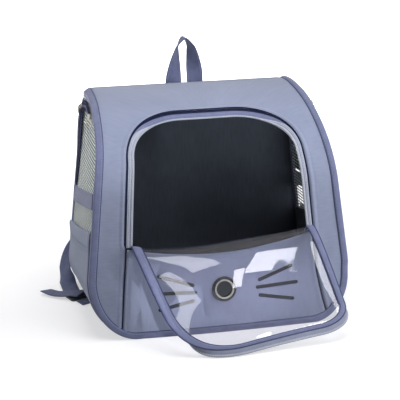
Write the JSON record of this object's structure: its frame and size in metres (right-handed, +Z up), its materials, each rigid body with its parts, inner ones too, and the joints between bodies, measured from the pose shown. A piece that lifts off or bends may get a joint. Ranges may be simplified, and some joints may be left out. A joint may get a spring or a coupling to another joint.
{
  "type": "pet carrier backpack",
  "caption": "Soft-sided pet carrier backpack with a rounded roof, net sides, a clear zip-off door hanging open, an eyelet vent, a handle and padded shoulder straps.",
  "frame": {"origin": "centre of the base's underside, where the bag stands on the floor", "axes": "+Z up, -Y towards the door, +Y towards the wearer's back, +X to the right of someone who faces the door"},
  "size_m": [0.4204, 0.3226, 0.334],
  "materials": {
    "panel_fabric": "coated plain weave, matte",
    "binding_tape": "folded tape, matte",
    "zip_tape": "zip tape with a nylon coil",
    "webbing": "woven webbing",
    "net": "open knitted net",
    "dark_zip_tape": "zip tape",
    "padding": "fabric over foam",
    "print": "printed strokes",
    "clear_pvc": "clear soft sheet, glossy",
    "dark_nickel": "plated, polished",
    "plated_zinc": "plated die casting",
    "black_plastic": "moulded, fine texture"
  },
  "bodies": {
    "root": {"front_surround": "panel_fabric", "front_column_left": "panel_fabric", "front_column_right": "panel_fabric", "front_lower_panel": "panel_fabric", "base_panel": "panel_fabric", "lower_side_left": "panel_fabric", "lower_side_right": "panel_fabric", "pocket_left": "panel_fabric", "pocket_right": "panel_fabric", "side_mesh_left": "net", "side_mesh_right": "net", "band_left": "webbing", "band_right": "webbing", "side_zip_left": "dark_zip_tape", "side_zip_right": "dark_zip_tape", "zip_slider_left": "plated_zinc", "zip_slider_right": "plated_zinc", "zip_ring_left": "plated_zinc", "zip_ring_right": "plated_zinc", "back_panel": "padding", "back_yoke": "panel_fabric", "binding_front": "binding_tape", "binding_back": "binding_tape", "door_frame_tape": "zip_tape", "door_window": "clear_pvc", "door_binding": "binding_tape", "door_zip_tape": "zip_tape", "eyelet": "dark_nickel", "whisker_left_upper": "print", "whisker_left_middle": "print", "whisker_left_lower": "print", "whisker_right_upper": "print", "whisker_right_middle": "print", "whisker_right_lower": "print", "handle": "webbing", "strap_pad_left": "padding", "strap_pad_right": "padding", "strap_webbing_left": "webbing", "strap_webbing_right": "webbing", "strap_tail_left": "webbing", "strap_tail_right": "webbing", "strap_tab_left": "webbing", "strap_tab_right": "webbing", "ladder_lock_left": "black_plastic", "ladder_lock_right": "black_plastic"}
  },
  "joints": []
}
